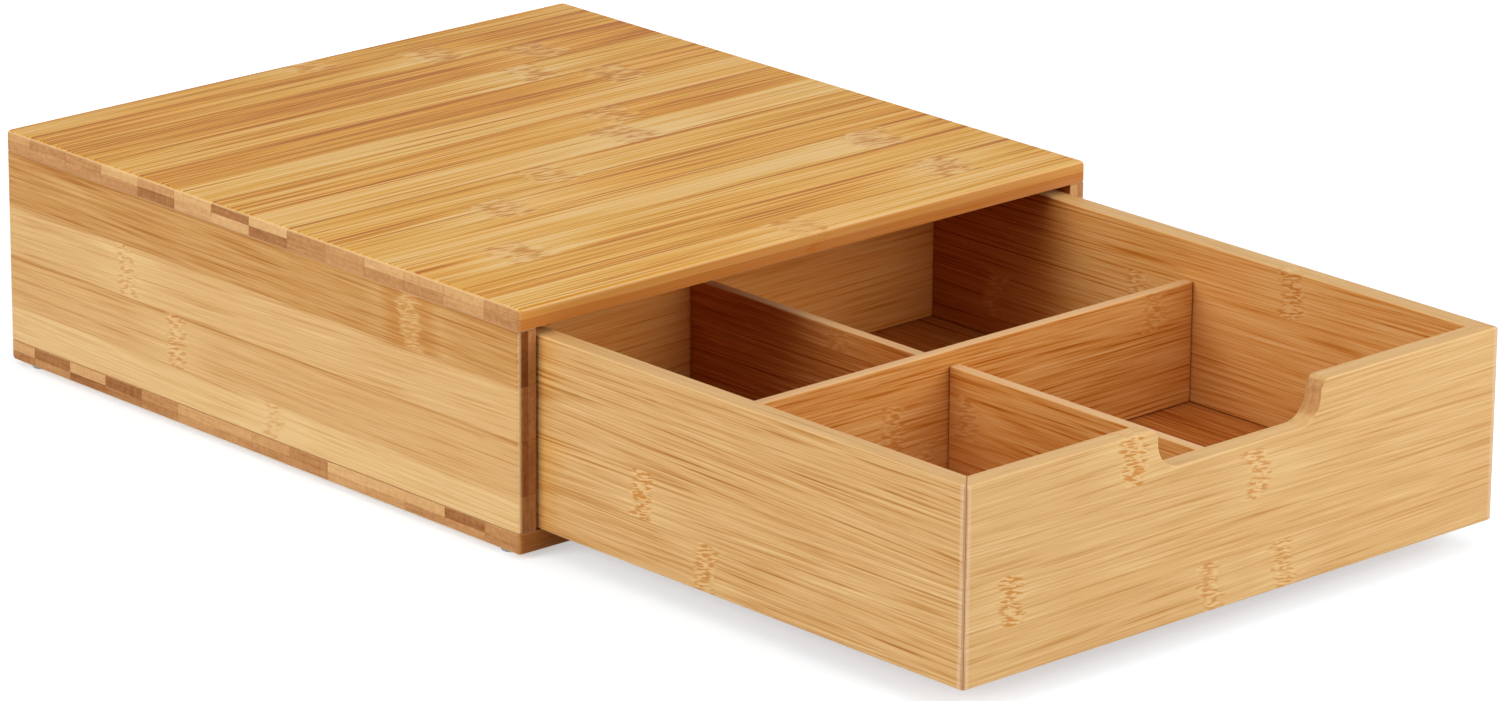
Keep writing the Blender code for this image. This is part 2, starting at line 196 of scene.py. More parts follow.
class Shader:
    """Short calls that add nodes to one node tree and join them."""

    def __init__(self, tree):
        self.tree = tree

    def node(self, kind, **settings):
        made = self.tree.nodes.new(kind)
        for name, value in settings.items():
            setattr(made, name, value)
        return made

    def feed(self, socket, value):
        """Joins an output to the socket, or sets the socket's own value."""
        if isinstance(value, bpy.types.NodeSocket):
            self.tree.links.new(value, socket)
        else:
            socket.default_value = value

    def math(self, operation, *values):
        made = self.node("ShaderNodeMath", operation=operation)
        for socket, value in zip(made.inputs, values):
            self.feed(socket, value)
        return made.outputs[0]

    def add(self, *values):
        total = values[0]
        for value in values[1:]:
            total = self.math("ADD", total, value)
        return total

    def times(self, first, second):
        return self.math("MULTIPLY", first, second)

    def fade(self, value, start, end, low=0.0, high=1.0):
        """A smooth step: low where value is at start, high where it is at end."""
        made = self.node("ShaderNodeMapRange", interpolation_type="SMOOTHSTEP")
        for name, given in (
            ("Value", value), ("From Min", start), ("From Max", end), ("To Min", low), ("To Max", high)
        ):
            self.feed(made.inputs[name], given)
        return made.outputs["Result"]

    def vector(self, x, y, z):
        made = self.node("ShaderNodeCombineXYZ")
        for socket, value in zip(made.inputs, (x, y, z)):
            self.feed(socket, value)
        return made.outputs[0]

    def split(self, vector):
        made = self.node("ShaderNodeSeparateXYZ")
        self.feed(made.inputs[0], vector)
        return made.outputs

    def noise(self, vector, detail=2.0, roughness=0.55, distortion=0.0):
        """Noise round zero, about -0.5 to 0.5."""
        made = self.node("ShaderNodeTexNoise", noise_dimensions="3D")
        for name, value in (
            ("Vector", vector), ("Scale", 1.0), ("Detail", detail), ("Roughness", roughness),
            ("Distortion", distortion),
        ):
            self.feed(made.inputs[name], value)
        return self.math("SUBTRACT", made.outputs["Fac"], 0.5)

    def ramp(self, factor, colours, interpolation="LINEAR"):
        """Colours spread evenly from 0 to 1, or one band each where the interpolation is CONSTANT."""
        made = self.node("ShaderNodeValToRGB")
        made.color_ramp.interpolation = interpolation
        gaps = len(colours) if interpolation == "CONSTANT" else len(colours) - 1
        while len(made.color_ramp.elements) > 1:
            made.color_ramp.elements.remove(made.color_ramp.elements[-1])
        made.color_ramp.elements[0].position = 0
        for index in range(1, len(colours)):
            made.color_ramp.elements.new(index / gaps)
        for element, colour in zip(made.color_ramp.elements, colours):
            element.color = (*colour, 1.0)
        self.feed(made.inputs["Fac"], factor)
        return made.outputs["Color"]

    def mix(self, factor, first, second, blend="MIX"):
        made = self.node("ShaderNodeMix", data_type="RGBA", blend_type=blend)
        self.feed(made.inputs["Factor"], factor)
        self.feed(made.inputs[MIX_FIRST], first)
        self.feed(made.inputs[MIX_SECOND], second)
        return made.outputs[MIX_RESULT]

    def channels(self, colour):
        made = self.node("ShaderNodeSeparateColor")
        self.feed(made.inputs[0], colour)
        return made.outputs


def new_group(name, inputs, outputs):
    """A shader group, its Shader, its inputs by name and its output node."""
    group = bpy.data.node_groups.new(name, "ShaderNodeTree")
    for title in inputs:
        group.interface.new_socket(title, in_out="INPUT", socket_type="NodeSocketFloat")
    for title in outputs:
        group.interface.new_socket(title, in_out="OUTPUT", socket_type="NodeSocketFloat")
    shader = Shader(group)
    given = {socket.name: socket for socket in shader.node("NodeGroupInput").outputs if socket.name}
    return group, shader, given, shader.node("NodeGroupOutput")


def use_group(shader, group, **values):
    made = shader.node("ShaderNodeGroup", node_tree=group)
    for name, value in values.items():
        shader.feed(made.inputs[name], value)
    return made.outputs


# Grain layers: repeats per metre along and across the fibres, detail, and how much each adds
FINE_LAYERS = ((20, 1250, 1.0, 1.30), (11, 600, 1.0, 0.56))
BROAD_LAYERS = ((10, 260, 0.5, 0.40), (9, 90, 1.0, 0.14), (9, 30, 1.0, 0.16))


def fibre_group():
    """Shade and height of the long grain. Each strip has its own shift, so no line runs into the next."""
    group, s, given, out = new_group(
        "bamboo_fibres", ("Along", "Across", "Through", "Shift"), ("Fine", "Broad", "Height")
    )

    def stretched(along_scale, across_scale, across):
        return s.vector(
            s.add(s.times(given["Along"], along_scale), given["Shift"]),
            s.times(across, across_scale),
            s.times(given["Through"], across_scale),
        )

    sway = s.noise(stretched(5, 45, given["Across"]), detail=1)
    across = s.add(given["Across"], s.times(sway, 0.6 * MM))

    def layer(along_scale, across_scale, detail, share):
        return s.times(s.noise(stretched(along_scale, across_scale, across), detail=detail), share)

    thread = s.fade(s.noise(stretched(17, 820, across), detail=0), 0.04, 0.26)
    fine = s.add(*[layer(*row) for row in FINE_LAYERS], s.times(thread, -0.34), 0.06)
    broad = s.add(*[layer(*row) for row in BROAD_LAYERS])
    fleck = s.fade(s.noise(stretched(70, 1500, across), detail=0), 0.10, 0.22)
    s.feed(out.inputs["Fine"], s.add(fine, s.times(fleck, -0.10)))
    s.feed(out.inputs["Broad"], broad)
    s.feed(out.inputs["Height"], s.add(fine, s.times(fleck, -0.4)))
    return group


def knuckle_group():
    """A knuckle, where the culm had a joint: a ragged band of short slanted fibres in a paler patch."""
    group, s, given, out = new_group(
        "bamboo_knuckle",
        ("Along", "Across", "Through", "Shift", "Place", "Spread"),
        ("Band", "Patch", "Ring", "After", "Dashes", "Blotch"),
    )
    torn = s.vector(s.times(given["Along"], 60), s.times(given["Across"], 900), given["Shift"])
    ragged = s.noise(torn, detail=1)
    bend = s.noise(s.vector(0.0, s.times(given["Across"], 95), given["Shift"]), detail=0)
    offset = s.add(given["Along"], s.times(given["Place"], -1), s.times(bend, 9 * MM))
    away = s.math("DIVIDE", s.math("ABSOLUTE", offset), given["Spread"])
    distance = s.add(away, s.times(ragged, 11 * MM))
    beside = s.add(offset, s.times(ragged, 8 * MM))
    slanted = s.add(given["Across"], s.times(offset, 0.16))
    grain = s.vector(
        s.add(s.math("DIVIDE", s.times(given["Along"], 210), given["Spread"]), given["Shift"]),
        s.math("DIVIDE", s.times(slanted, 1050), given["Spread"]),
        s.math("DIVIDE", s.times(given["Through"], 1050), given["Spread"]),
    )
    dashes = s.noise(grain, detail=1, roughness=0.5, distortion=0.35)
    coarse = s.vector(s.times(given["Along"], 190), s.times(given["Across"], 190), given["Shift"])
    blotches = s.noise(coarse, detail=1)
    near, far = s.fade(distance, 4 * MM, 7 * MM), s.fade(distance, 20 * MM, 9 * MM)
    begun, faded = s.fade(beside, -1 * MM, 5 * MM), s.fade(beside, 130 * MM, 30 * MM)
    s.feed(out.inputs["Band"], s.fade(distance, 6.8 * MM, 3.2 * MM))
    s.feed(out.inputs["Patch"], s.fade(distance, 32 * MM, 4 * MM))
    s.feed(out.inputs["Ring"], s.times(near, far))
    s.feed(out.inputs["After"], s.times(begun, faded))
    s.feed(out.inputs["Dashes"], s.fade(dashes, -0.16, 0.16, -0.5, 0.5))
    s.feed(out.inputs["Blotch"], s.fade(blotches, -0.02, 0.14))
    return group


def end_group():
    """End grain: the cut ends of the fibre bundles, as small dark dots on a mottled ground."""
    inputs = ("Along", "Across", "Through", "Shift")
    group, s, given, out = new_group("bamboo_ends", inputs, ("Shade", "Height"))
    across = s.add(given["Across"], given["Shift"])
    along, through = given["Along"], given["Through"]
    mottle = s.noise(s.vector(s.times(along, 60), s.times(across, 420), s.times(through, 420)))
    layers = s.noise(s.vector(s.times(along, 20), s.times(across, 60), s.times(through, 900)))
    cells = s.node("ShaderNodeTexVoronoi", voronoi_dimensions="3D", feature="F1")
    spots = s.vector(s.times(along, 30), s.times(across, 1500), s.times(through, 1500))
    s.feed(cells.inputs["Vector"], spots)
    s.feed(cells.inputs["Scale"], 1.0)
    dots = s.fade(cells.outputs["Distance"], 0.42, 0.22)
    s.feed(out.inputs["Shade"], s.add(s.times(mottle, 0.36), s.times(layers, 0.45), s.times(dots, -0.09)))
    s.feed(out.inputs["Height"], s.times(dots, -1.0))
    return group


# Bamboo

AXES = {"x": 0, "y": 1, "z": 2}


def strip_rows(board):
    """For each strip: its tone and the places of its two knuckles, as metres along the fibres."""
    rows = []
    for strip in board.strips:
        places = [place * MM for place in strip.knuckles] + [NO_KNUCKLE] * (2 - len(strip.knuckles))
        rows.append((strip.tone, places[0], places[1]))
    return rows


class Layout:
    """Where a point of a board lies: along, across and through it, and in which strip."""

    def __init__(self, s, node, board, seed):
        low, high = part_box(node)
        self.along, self.across = AXES[board.along], AXES[board.across]
        self.through = 3 - self.along - self.across
        coordinates = s.node("ShaderNodeTexCoord")
        place = s.split(coordinates.outputs["Object"])
        self.facing = s.split(coordinates.outputs["Normal"])
        axes = (self.along, self.across, self.through)
        self.u, self.w, self.t = (s.math("SUBTRACT", place[axis], low[axis]) for axis in axes)
        self.length = high[self.along] - low[self.along]
        self.thickness = high[self.through] - low[self.through]
        steps = s.math("DIVIDE", s.math("SUBTRACT", self.w, board.first * MM), board.pitch * MM)
        self.strip = s.math("FLOOR", s.add(steps, 1.0))
        self.share = s.math("FRACT", s.add(steps, 8.0))
        self.slot = s.math("DIVIDE", s.add(self.strip, 0.5), float(len(board.strips)))
        self.shift = s.add(s.times(self.strip, 17.3), seed * 5.7)
        nearest = s.math("MINIMUM", self.share, s.math("SUBTRACT", 1.0, self.share))
        to_joint = s.times(nearest, board.pitch * MM)
        between = s.math("GREATER_THAN", self.strip, -0.5)
        self.joint = s.math("MULTIPLY", s.fade(to_joint, 0.40 * MM, 0.05 * MM), between)
        self.position = {"Along": self.u, "Across": self.w, "Through": self.t, "Shift": self.shift}

    def per_strip(self, s, step, seed):
        """A number from 0 to 1 for each strip."""
        return s.math("FRACT", s.add(s.times(self.strip, step), seed * 0.61, 8.0))


def greatest(s, values):
    found = values[0]
    for value in values[1:]:
        found = s.math("MAXIMUM", found, value)
    return found


def face_colour(s, board, at, groups, seed):
    """The colour of a board's face, and its height for the bump."""
    slant = s.math("SUBTRACT", at.per_strip(s, 0.37, seed), 0.5)
    leaning = s.add(at.w, s.times(s.times(slant, at.u), board.slant))
    tone, *knuckles = s.channels(s.ramp(at.slot, strip_rows(board), "CONSTANT"))
    turns = [(0.5 + strip.turn, strip.ring, 0) for strip in board.strips]
    raised_turn, ringed, _ = s.channels(s.ramp(at.slot, turns, "CONSTANT"))
    turn = s.add(raised_turn, -0.5)
    paced = s.times(at.u, board.pace)
    fibres = use_group(s, groups["fibres"], Along=paced, Across=leaning, Through=at.t, Shift=at.shift)
    knots = [
        use_group(s, groups["knuckle"], **at.position, Place=place, Spread=board.spread)
        for place in knuckles[:2]
    ]
    band, patch, halo = (
        greatest(s, [knot[name] for knot in knots]) for name in ("Band", "Patch", "Ring")
    )
    ring = s.times(halo, ringed)
    strength = s.add(0.62, s.times(at.per_strip(s, 0.618, seed), 0.6))
    dashes, blotch = knots[0]["Dashes"], knots[0]["Blotch"]

    flame = s.noise(s.vector(s.times(at.u, 24), s.times(leaning, 170), at.shift), detail=1)
    pattern = s.add(s.times(dashes, board.marks), s.times(blotch, -0.06), 0.06)
    marks = s.times(s.times(band, strength), pattern)
    streaks = s.add(s.times(fibres["Fine"], board.fine), s.times(fibres["Broad"], board.broad))
    grain = s.times(streaks, s.math("SUBTRACT", 1.0, s.times(band, 0.6)))
    skin_noise = s.noise(s.vector(s.times(at.u, 7), at.shift, s.times(at.w, 60)), detail=1)
    skin = s.times(s.fade(at.share, 0.86, 1.0), s.fade(skin_noise, -0.22, 0.10))
    joints = s.times(s.add(s.times(skin, -0.52), s.times(at.joint, -0.30)), board.joints)
    shade = s.add(
        tone, grain, marks, joints, s.times(patch, s.add(board.glow, s.times(flame, board.flame))),
        s.times(turn, knots[0]["After"]), s.times(ring, -0.24),
    )
    face = s.ramp(shade, board.face)
    # Painted shade and bounce light: faces that look into the box take a more saturated orange palette of
    # their own
    if board.inside:
        inward = s.fade(s.times(at.facing[at.through], board.looks), 0.3, 0.7)
        inside_shade_and_bounce = s.ramp(shade, board.inside)
        # Painted shadow: from this point along the drawer's side the inside turns russet, where the case's
        # top panel shades it at rest
        if board.deep:
            depth = s.fade(at.u, board.deep * MM, (board.deep + PAINTED_SHADOW_FADE) * MM)
            inside_shade_and_bounce = s.mix(depth, inside_shade_and_bounce, s.ramp(shade, SHADED_RUSSET))
        face = s.mix(inward, face, inside_shade_and_bounce)

    drift = s.noise(s.vector(s.times(at.u, 11), at.shift, s.times(at.w, 26)), detail=1)
    drift_and_painted_shade = s.times(s.fade(drift, -0.10, 0.18), board.warmth)
    # Painted shade and orange bounce light on the drawer's side at the case's mouth
    if board.warm_spot:
        reach = s.math("ABSOLUTE", s.add(at.u, -board.warm_spot * MM, s.times(drift, 24 * MM)))
        drift_and_painted_shade = s.math("MAXIMUM", drift_and_painted_shade, s.times(s.fade(reach, 26 * MM, 4 * MM), 0.75))
    face = s.mix(drift_and_painted_shade, face, (*WARM_AND_SHADE_TINT, 1.0), "MULTIPLY")
    dark_dash = s.fade(dashes, 0.1, -0.45)
    stained = s.times(s.times(band, strength), s.add(0.14, s.times(dark_dash, 0.5)))
    face = s.mix(s.add(s.times(stained, board.stain), s.times(ring, 0.25)), face, (*KNUCKLE_STAIN, 1.0))
    height = s.add(fibres["Height"], s.times(s.times(band, dashes), 0.8), s.times(at.joint, -0.5))
    return face, height, fibres["Fine"]


def upper_ply(s, at):
    """1 in the board's upper ply and 0 in its lower one."""
    waver = s.noise(s.vector(s.times(at.u, 25), s.times(at.w, 25), at.shift), detail=1)
    return s.fade(s.add(s.math("DIVIDE", at.t, at.thickness), s.times(waver, 0.08)), 0.48, 0.52)


def end_colour(s, board, at, groups):
    """The colour of a board's sawn end, and its height for the bump."""
    upper, lower, _ = s.channels(s.ramp(at.slot, [(*pair, 0) for pair in board.plies], "CONSTANT"))
    half = s.math("DIVIDE", at.t, at.thickness)
    is_upper = s.fade(half, 0.49, 0.51)
    ply_tone = s.add(s.times(upper, is_upper), s.times(lower, s.math("SUBTRACT", 1.0, is_upper)))
    ply_seam = s.fade(s.math("ABSOLUTE", s.add(half, -0.5)), 0.035, 0.0)
    pattern = use_group(s, groups["ends"], **at.position)
    lines = s.times(s.math("MAXIMUM", at.joint, ply_seam), -0.12)
    return s.ramp(s.add(ply_tone, pattern["Shade"], lines), board.ends), pattern["Height"]


def edge_highlights(s, board, at, colour):
    """Rounded edges are painted paler as a highlight, but not where a sawn end meets a narrow edge."""
    sizes = [s.math("ABSOLUTE", side) for side in at.facing]
    straight = greatest(s, sizes)
    corner = s.fade(s.math("MINIMUM", sizes[at.along], sizes[at.across]), 0.15, 0.35)
    worn = s.times(s.fade(straight, 0.95, 0.78), s.math("SUBTRACT", 1.0, corner))
    return s.mix(s.times(worn, board.worn), colour, (*EDGE_HIGHLIGHT, 1.0))


def mitre_seam(s, board, at, colour):
    """The glue seam that shows at a mitred corner, with a painted highlight as a paler rim beside it."""
    from_end = s.math("MINIMUM", at.u, s.math("SUBTRACT", at.length, at.u))
    outward = s.fade(s.times(at.facing[at.through], -board.looks), 0.2, 0.5)
    waver = s.noise(s.vector(s.times(at.w, 45), s.times(at.u, 200), at.shift), detail=2)
    edge = s.add(from_end, s.times(waver, 1.5 * MM))
    # Painted highlight: a paler rim beside the seam
    rim = s.times(s.fade(edge, (board.mitre + 2.4) * MM, (board.mitre + 1.0) * MM), 0.45)
    seam = s.times(s.fade(edge, (board.mitre + 0.35) * MM, (board.mitre - 0.25) * MM), 0.6)
    highlighted = s.mix(s.times(rim, outward), colour, (*MITRE_HIGHLIGHT, 1.0))
    return s.mix(s.times(seam, outward), highlighted, (*MITRE_SEAM, 1.0))


def bamboo_material(node, board, groups, seed):
    """A varnished board of bamboo strips. Its pattern is laid out from the board's low corner."""
    material = bpy.data.materials.new(f"bamboo_{node}")
    material.use_nodes = True
    s = Shader(material.node_tree)
    at = Layout(s, node, board, seed)
    face, face_height, fibre_shade = face_colour(s, board, at, groups, seed)
    ends, end_height = end_colour(s, board, at, groups)

    edge_mask = s.fade(s.math("ABSOLUTE", at.facing[at.across]), 0.5, 0.85)
    edge = s.mix(upper_ply(s, at), (*board.edge[1], 1.0), (*board.edge[0], 1.0))
    colour = s.mix(s.times(edge_mask, board.edge_share), face, edge)
    end_mask = s.fade(s.math("ABSOLUTE", at.facing[at.along]), 0.55, 0.8)
    # Painted highlight along the rounded edges
    colour = edge_highlights(s, board, at, s.mix(end_mask, colour, ends))
    if board.mitre:
        colour = mitre_seam(s, board, at, colour)

    bump = s.node("ShaderNodeBump")
    s.feed(bump.inputs["Strength"], 0.35)
    s.feed(bump.inputs["Distance"], 0.12 * MM)
    s.feed(bump.inputs["Height"], s.add(
        s.times(face_height, s.math("SUBTRACT", 1.0, end_mask)), s.times(end_height, end_mask)
    ))
    shader = s.tree.nodes["Principled BSDF"]
    s.feed(shader.inputs["Base Color"], colour)
    s.feed(shader.inputs["Roughness"], s.add(0.44, s.times(fibre_shade, -0.06), s.times(end_mask, 0.12)))
    s.feed(shader.inputs["Normal"], bump.outputs["Normal"])
    s.feed(shader.inputs["Specular IOR Level"], 0.1)
    return material


def plain_plies(strips):
    return [(0.5, 0.5)] * len(strips)


def guessed_strips(count, length, seed, tone=0.5):
    """Strips for a board that shows little: tones near the middle and one knuckle each."""
    chance = random.Random(seed)
    strips = []
    for _ in range(count):
        strip_tone = chance.uniform(tone - 0.08, tone + 0.08)
        strips.append(Strip(strip_tone, (chance.uniform(0.05, 0.95) * length,)))
    return strips


# The top's strips, from the front back. The rear strips are darker and turn darker past their knuckles,
# partly their own tone and partly painted shade for the light falling off towards the back right of the top
TOP_STRIPS = [
    Strip(0.66, (153,)), Strip(0.46, (251,), -0.10), Strip(0.58, (47,), 0.04),
    Strip(0.68, (257,), -0.34), Strip(0.54, (81,), 0.12), Strip(0.56, (124,), 0.10),
    Strip(0.80, (186,), 0.04), Strip(0.48, (201,), -0.24), Strip(0.72),
    Strip(0.34, (244,), 0.08), Strip(0.60, (216,), -0.14), Strip(0.34, (240,), -0.14),
    Strip(0.40, (201,), -0.12), Strip(0.48, (154,), -0.18),
]
TOP_PLIES = [
    (0.44, 0.36), (0.68, 0.56), (0.62, 0.38), (0.70, 0.38), (0.50, 0.46), (0.38, 0.36), (0.78, 0.20),
    (0.20, 0.72), (0.74, 0.62), (0.50, 0.18), (0.76, 0.44), (0.42, 0.42), (0.38, 0.46), (0.60, 0.46),
]
BOTTOM_PLIES = [
    (0.42, 0.36), (0.14, 0.48), (0.74, 0.40), (0.78, 0.54), (0.82, 0.62), (0.34, 0.42), (0.56, 0.42),
    (0.66, 0.46), (0.66, 0.54), (0.42, 0.36), (0.12, 0.28), (0.70, 0.14), (0.18, 0.44), (0.66, 0.28),
]
LEFT_SIDE_STRIPS = [
    Strip(0.86, (149,)), Strip(0.56, (210,)), Strip(0.66, (241,)),
    Strip(0.26, (65,), ring=1.0),
]
LEFT_SIDE_PLIES = [(0.72, 0.60), (0.62, 0.42), (0.70, 0.46), (0.66, 0.20)]
RIGHT_SIDE_PLIES = [(0.34, 0.46), (0.28, 0.40), (0.36, 0.24), (0.30, 0.54)]
DRAWER_FRONT_STRIPS = [
    Strip(0.60, (164, 125)), Strip(0.62, (24,)), Strip(0.62, (149,)),
    Strip(0.64, (84,)),
]
DRAWER_LEFT_STRIPS = [Strip(0.50, (137,)), Strip(0.56, (173,)), Strip(0.52), Strip(0.50)]
DRAWER_RIGHT_STRIPS = [Strip(0.54), Strip(0.52, (262,)), Strip(0.56, (182,)), Strip(0.54, (98,))]
DRAWER_BACK_STRIPS = [Strip(0.60, (122,)), Strip(0.64), Strip(0.60, (60,)), Strip(0.66)]
CROSS_STRIPS = [Strip(0.50, (117,)), Strip(0.48, (99,)), Strip(0.46, (240,))]
FRONT_DIVIDER_STRIPS = [Strip(0.50, (40,)), Strip(0.48, (132,)), Strip(0.50)]
REAR_DIVIDER_STRIPS = [Strip(0.62), Strip(0.60, (20,)), Strip(0.58, (56,))]


def panel_board(strips, plies, edge, looks):
    return Board(
        "x", "y", 20.5, 23.6, strips, plies, GOLDEN, END_TAN, edge, 0.85, joints=1.0, fine=1.3,
        broad=1.65, pace=0.45, slant=0.015, flame=0.5, spread=1.8, glow=0.21, marks=1.35,
        stain=1.4, worn=0.55, warmth=0.45, inside=SHADED_RUSSET, looks=looks,
    )


def upright_board(along, strips, plies, ends, looks):
    return Board(
        along, "z", 14.9, 21.8, strips, plies, PALE, ends, (WALL_EDGE, WALL_EDGE), 0.2,
        joints=0.5, fine=0.62, broad=0.22, pace=1.1, slant=0.05, flame=0.2, spread=1.0,
        glow=0.15, marks=0.6, stain=0.8, worn=0.4, warmth=0.06, inside=SHADED_RUSSET, looks=looks,
    )


def wall_board(along, strips, looks, mitre, fine, inside=SHADED_AMBER, warm_spot=None, deep=None):
    """One of the drawer's four walls."""
    return Board(
        along, "z", 19.4, 19.4, strips, plain_plies(strips), PALE, END_TAN,
        (WALL_EDGE, WALL_EDGE), 0.5, joints=0.2, fine=fine, broad=0.25, pace=1.0, slant=0.04,
        flame=0.2, spread=1.0, glow=0.12, marks=0.95, stain=1.3, worn=0.5, warmth=0.06,
        inside=inside, looks=looks, mitre=mitre, warm_spot=warm_spot, deep=deep,
    )


def divider_board(along, strips, face):
    return Board(
        along, "z", 16.0, 18.0, strips, plain_plies(strips), face, END_TAN,
        (DIVIDER_EDGE, DIVIDER_EDGE), 0.75, joints=0.3, fine=0.9, broad=0.7, pace=1.2,
        slant=0.04, flame=0.3, spread=1.0, glow=0.12, marks=0.6, stain=1.0, worn=0.35,
        warmth=0.2,
    )


# The drawer's floor takes the russet painted shade as its face colour
def floor_board(strips):
    return Board(
        "y", "x", 20.0, 22.6, strips, plain_plies(strips), SHADED_RUSSET, END_TAN,
        (WALL_EDGE, WALL_EDGE), 0.2, joints=0.8, fine=1.0, broad=0.9, pace=1.2, slant=0.04,
        flame=0.3, spread=1.0, glow=0.12, marks=0.6, stain=1.0, worn=0.3, warmth=0.2,
    )


def boards():
    """Each bamboo node and how its board is made up."""
    bottom_strips = guessed_strips(14, 300, 2)
    right_side_strips = guessed_strips(4, 320, 3)
    back_strips = guessed_strips(4, 280, 4)
    # Painted shade on the bottom panel's narrow edges
    shaded_under_edge = (EDGE_IN_SHADE, EDGE_IN_SHADE)
    return {
        "case_top_panel": panel_board(TOP_STRIPS, TOP_PLIES, (EDGE_UPPER, EDGE_LOWER), -1),
        "case_bottom_panel": panel_board(bottom_strips, BOTTOM_PLIES, shaded_under_edge, 1),
        "case_left_side": upright_board("y", LEFT_SIDE_STRIPS, LEFT_SIDE_PLIES, END_DARK_AND_SHADED, 1),
        "case_right_side": upright_board("y", right_side_strips, RIGHT_SIDE_PLIES, END_TAN, -1),
        "case_back_panel": upright_board("x", back_strips, plain_plies(back_strips), END_TAN, -1),
        "drawer_front": wall_board("x", DRAWER_FRONT_STRIPS, 1, 0.2, 0.72),
        "drawer_back": wall_board("x", DRAWER_BACK_STRIPS, -1, 0.2, 0.8, inside=BOUNCE_LIT_EMBER),
        "drawer_left_side": wall_board("y", DRAWER_LEFT_STRIPS, 1, 0.8, 0.95, warm_spot=238, deep=212),
        "drawer_right_side": wall_board("y", DRAWER_RIGHT_STRIPS, -1, 0.8, 0.85, deep=212),
        "drawer_floor": floor_board(guessed_strips(12, 290, 5, tone=0.45)),
        # The dividers' faces are painted shade: amber for the cross and front divider, russet for the rear
        # one
        "cross_divider": divider_board("x", CROSS_STRIPS, SHADED_AMBER),
        "front_divider": divider_board("y", FRONT_DIVIDER_STRIPS, SHADED_AMBER),
        "rear_divider": divider_board("y", REAR_DIVIDER_STRIPS, SHADED_RUSSET),
    }


# Other materials

def rubber_material():
    """Clear soft rubber: cloudy inside, slightly dull on top."""
    material = bpy.data.materials.new("clear_rubber")
    material.use_nodes = True
    s = Shader(material.node_tree)
    place = s.node("ShaderNodeTexCoord").outputs["Object"]
    scaled = s.node("ShaderNodeVectorMath", operation="SCALE")
    s.feed(scaled.inputs[0], place)
    s.feed(scaled.inputs["Scale"], 900.0)
    cloud = s.noise(scaled.outputs[0], detail=3)
    shader = s.tree.nodes["Principled BSDF"]
    s.feed(shader.inputs["Base Color"], s.ramp(s.add(cloud, 0.5), RUBBER))
    s.feed(shader.inputs["Roughness"], s.add(0.28, s.times(cloud, 0.25)))
    s.feed(shader.inputs["Transmission Weight"], 0.75)
    s.feed(shader.inputs["IOR"], 1.45)
    return material


def dowel_material(groups):
    """Bare turned wood with its grain upright."""
    material = bpy.data.materials.new("dowel_wood")
    material.use_nodes = True
    s = Shader(material.node_tree)
    x, y, z = s.split(s.node("ShaderNodeTexCoord").outputs["Object"])
    fibres = use_group(s, groups["fibres"], Along=z, Across=x, Through=y, Shift=3.0)
    shader = s.tree.nodes["Principled BSDF"]
    s.feed(shader.inputs["Base Color"], s.ramp(s.add(fibres["Fine"], 0.5), DOWEL))
    s.feed(shader.inputs["Roughness"], s.add(0.7, s.times(fibres["Fine"], 0.1)))
    return material


def glue_material():
    """Dried wood glue with bamboo dust in it, as it shows in a closed joint."""
    material = bpy.data.materials.new("glue_line")
    material.use_nodes = True
    s = Shader(material.node_tree)
    x, y, z = s.split(s.node("ShaderNodeTexCoord").outputs["Object"])
    grain = s.noise(s.vector(s.times(x, 300), s.times(y, 300), s.times(z, 300)), detail=3)
    shader = s.tree.nodes["Principled BSDF"]
    s.feed(shader.inputs["Base Color"], s.ramp(s.add(grain, 0.5), GLUE))
    s.feed(shader.inputs["Roughness"], s.add(0.6, s.times(grain, 0.2)))
    s.feed(shader.inputs["Specular IOR Level"], 0.0)
    return material


def floor_material():
    """A pale floor that shows as white, keeps shadows and throws plain light back on the box."""
    material = bpy.data.materials.new("studio_floor")
    material.use_nodes = True
    s = Shader(material.node_tree)
    x, y, _ = s.split(s.node("ShaderNodeTexCoord").outputs["Object"])
    paper = s.noise(s.vector(s.times(x, 40), s.times(y, 40), 0.0), detail=3)
    shader = s.tree.nodes["Principled BSDF"]
    low = tuple(channel - 0.01 for channel in FLOOR_COLOUR)
    s.feed(shader.inputs["Base Color"], s.ramp(s.add(paper, 0.5), (low, FLOOR_COLOUR)))
    s.feed(shader.inputs["Roughness"], 0.9)
    s.feed(shader.inputs["Specular IOR Level"], 0.0)
    s.feed(shader.inputs["Emission Color"], (1.0, 1.0, 1.0, 1.0))
    away = s.math("SQRT", s.add(s.times(x, x), s.times(y, y)))
    glow = s.fade(away, *FLOOR_GLOW_REACH, FLOOR_GLOW, FLOOR_GLOW_FAR)
    s.feed(shader.inputs["Emission Strength"], s.times(seen_rays(s), glow))
    return material


def seen_rays(s):
    """1 for rays from the camera, off a gloss or through a clear piece, and 0 for the rest."""
    path = s.node("ShaderNodeLightPath")
    glossy = s.math("MAXIMUM", path.outputs["Is Camera Ray"], path.outputs["Is Glossy Ray"])
    return s.math("MAXIMUM", glossy, path.outputs["Is Transmission Ray"])


def paint(obj, material):
    obj.material_slots[0].link = "OBJECT"
    obj.material_slots[0].material = material


# Shapes

SHARP_ANGLE = math.radians(35)
WELD_DISTANCE = 0.01 * MM


